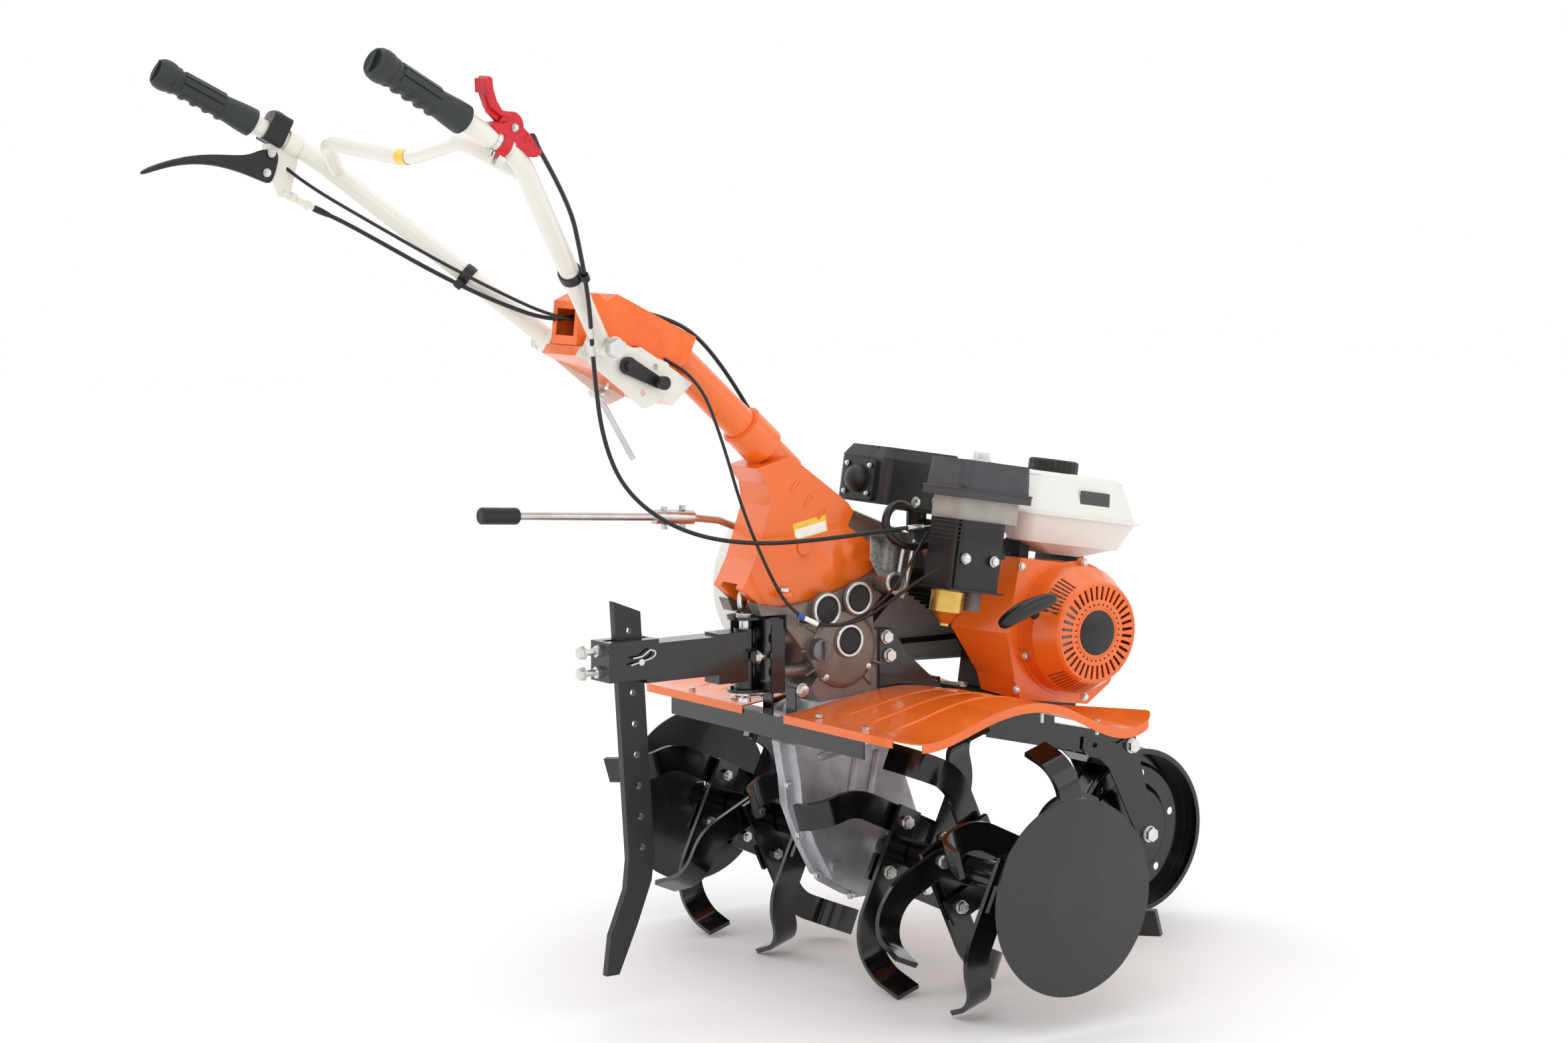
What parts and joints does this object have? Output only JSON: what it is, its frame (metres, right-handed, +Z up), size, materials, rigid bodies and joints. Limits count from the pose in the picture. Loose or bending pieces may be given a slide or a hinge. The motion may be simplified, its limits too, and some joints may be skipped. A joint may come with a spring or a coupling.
{
  "type": "rotary tiller",
  "caption": "Petrol walk-behind rotary tiller with bolt-on curved tines, side discs, fenders, belt drive, drag bar, folding front wheel and a raked handlebar.",
  "frame": {"origin": "bottom centre of the bounding box, under the tine tips", "axes": "+X is the way the machine travels, +Y is its left side, +Z is up"},
  "size_m": [1.7582, 0.982, 1.4028],
  "materials": {
    "orange_paint": "gloss",
    "orange_plastic": "gloss",
    "black_paint": "gloss",
    "black_steel": "satin",
    "engine_black": "satin",
    "cast_grey": "satin",
    "cast_silver": "satin",
    "cream_paint": "gloss",
    "zinc": "bright",
    "white_paint": "gloss",
    "carb_metal": "satin",
    "black_plastic": "matte",
    "smoke_plastic": "satin",
    "red_plastic": "gloss",
    "grip_rubber": "matte",
    "cable_black": "satin"
  },
  "bodies": {
    "chassis": {"fender_right": "orange_paint", "fender_left": "orange_paint", "column_tube": "orange_paint", "column_casting": "orange_paint", "fan_shroud": "orange_paint", "starter_housing": "orange_paint", "head_cover": "orange_plastic", "frame_rails": "black_paint", "front_beam": "black_paint", "hitch_bracket": "black_paint", "muffler": "black_steel", "engine_block": "engine_black", "gearbox": "cast_grey", "chain_case": "cast_silver", "column_head": "cream_paint", "frame_bolts": "zinc", "hitch_pin": "zinc", "fuel_tank": "white_paint", "belt_cover": "white_paint", "carburettor": "carb_metal", "cleaner_lid": "black_plastic", "carb_cover": "black_plastic", "cleaner_base": "smoke_plastic", "drive_belt": "grip_rubber", "throttle_cable": "cable_black", "clutch_cable": "cable_black", "switch_lead": "cable_black"},
    "rotor": {"output_shaft": "black_paint", "tines_left": "black_paint", "tines_right": "black_paint", "tine_bolts": "zinc", "side_discs": "black_paint", "rotor_pins": "zinc"},
    "wheel_fork": {"wheel_fork": "black_paint", "wheel_axle": "zinc"},
    "front_wheel": {"front_wheel": "black_paint"},
    "drag_holder": {"bar_holder": "black_paint", "bar_pins": "zinc", "drag_bar": "black_paint"},
    "handlebar": {"handlebar": "cream_paint", "grips": "grip_rubber", "throttle_housing": "red_plastic", "switch_housing": "black_plastic", "clutch_bracket": "cream_paint"},
    "throttle_lever": {"throttle_lever": "red_plastic"},
    "switch_rocker": {"switch_rocker": "red_plastic"},
    "clutch_lever": {"clutch_lever": "black_plastic"},
    "height_lever": {"height_lever": "black_plastic"},
    "clamp_rod": {"clamp_rod": "zinc"},
    "gear_lever": {"gear_lever": "zinc"},
    "tension_arm": {"tension_arm": "black_paint"},
    "tension_pulley": {"tension_pulley": "black_plastic"},
    "input_pulley": {"driven_pulley": "zinc"},
    "crank": {"crankshaft": "zinc"},
    "starter_handle": {"starter_handle": "black_plastic"},
    "fuel_cap": {"fuel_cap": "black_plastic"},
    "choke_lever": {"choke_lever": "zinc"},
    "fuel_tap_lever": {"fuel_tap_lever": "black_plastic"}
  },
  "joints": [
    {"name": "rotor_spin", "type": "hinge", "parent": "chassis", "child": "rotor", "pos_m": [0.20012, 0, 0.20068], "axis": [0, 1, 0], "continuous": true},
    {"name": "wheel_fold", "type": "hinge", "parent": "chassis", "child": "wheel_fork", "pos_m": [0.70012, 0, 0.30868], "axis": [0, 1, 0], "range_deg": [-70, 0]},
    {"name": "front_wheel_spin", "type": "hinge", "parent": "wheel_fork", "child": "front_wheel", "pos_m": [0.74112, 0, 0.15668], "axis": [0, 1, 0], "continuous": true},
    {"name": "drag_swing", "type": "hinge", "parent": "chassis", "child": "drag_holder", "pos_m": [-0.03888, 0, 0.51068], "axis": [0, 0, 1], "range_deg": [-12, 12]},
    {"name": "handlebar_height", "type": "hinge", "parent": "chassis", "child": "handlebar", "pos_m": [-0.33388, 0, 0.99568], "axis": [0, 1, 0], "range_deg": [-12, 12], "deforming": ["throttle_cable", "clutch_cable", "switch_lead"]},
    {"name": "throttle_turn", "type": "hinge", "parent": "handlebar", "child": "throttle_lever", "pos_m": [-0.62388, -0.28973, 1.30535], "axis": [-0.0974, 0.994, 0.0506], "range_deg": [0, 60]},
    {"name": "switch_tilt", "type": "hinge", "parent": "handlebar", "child": "switch_rocker", "pos_m": [-0.6525, 0.29347, 1.32361], "axis": [0.0974, 0.994, -0.0506], "range_deg": [-8, 8]},
    {"name": "clutch_squeeze", "type": "hinge", "parent": "handlebar", "child": "clutch_lever", "pos_m": [-0.67588, 0.2865, 1.27268], "axis": [0, 1, 0], "range_deg": [0, 25], "stiffness_Nm_per_rad": 0.5},
    {"name": "height_lever_turn", "type": "hinge", "parent": "chassis", "child": "height_lever", "pos_m": [-0.28388, -0.055, 0.96668], "axis": [0, 1, 0], "range_deg": [-22, 27]},
    {"name": "clamp_turn", "type": "hinge", "parent": "chassis", "child": "clamp_rod", "pos_m": [-0.26488, 0.058, 0.92168], "axis": [0, 1, 0], "range_deg": [-60, 60]},
    {"name": "gear_shift", "type": "hinge", "parent": "chassis", "child": "gear_lever", "pos_m": [0.00112, 0.06, 0.69968], "axis": [0, 1, 0], "range_deg": [-8, 8]},
    {"name": "belt_tension", "type": "hinge", "parent": "chassis", "child": "tension_arm", "pos_m": [0.21612, 0.068, 0.50968], "axis": [0, 1, 0], "range_deg": [-8, 0]},
    {"name": "tension_pulley_spin", "type": "hinge", "parent": "tension_arm", "child": "tension_pulley", "pos_m": [0.30412, 0.083, 0.59168], "axis": [0, 1, 0], "continuous": true},
    {"name": "input_pulley_spin", "type": "hinge", "parent": "chassis", "child": "input_pulley", "pos_m": [0.13112, 0.083, 0.59768], "axis": [0, 1, 0], "continuous": true},
    {"name": "crank_spin", "type": "hinge", "parent": "chassis", "child": "crank", "pos_m": [0.49862, 0, 0.52818], "axis": [0, 1, 0], "continuous": true},
    {"name": "starter_pull", "type": "slide", "parent": "chassis", "child": "starter_handle", "axis": [-0.6827, -0.6893, 0.2424], "range_m": [0, 0.4], "stiffness_N_per_m": 20, "springref_m": -0.1},
    {"name": "fuel_cap_turn", "type": "hinge", "parent": "chassis", "child": "fuel_cap", "pos_m": [0.55171, -0.02, 0.7739], "axis": [0.1564, 0, 0.9877], "range_deg": [0, 90]},
    {"name": "choke_turn", "type": "hinge", "parent": "chassis", "child": "choke_lever", "pos_m": [0.31586, -0.146, 0.6847], "axis": [0.9877, 0, -0.1564], "range_deg": [-60, 0]},
    {"name": "fuel_tap_turn", "type": "hinge", "parent": "chassis", "child": "fuel_tap_lever", "pos_m": [0.31195, -0.146, 0.66001], "axis": [0.9877, 0, -0.1564], "range_deg": [0, 60]}
  ],
  "couplings": [
    {"joint": "belt_tension", "follows": "clutch_squeeze", "ratio": -0.32}
  ]
}
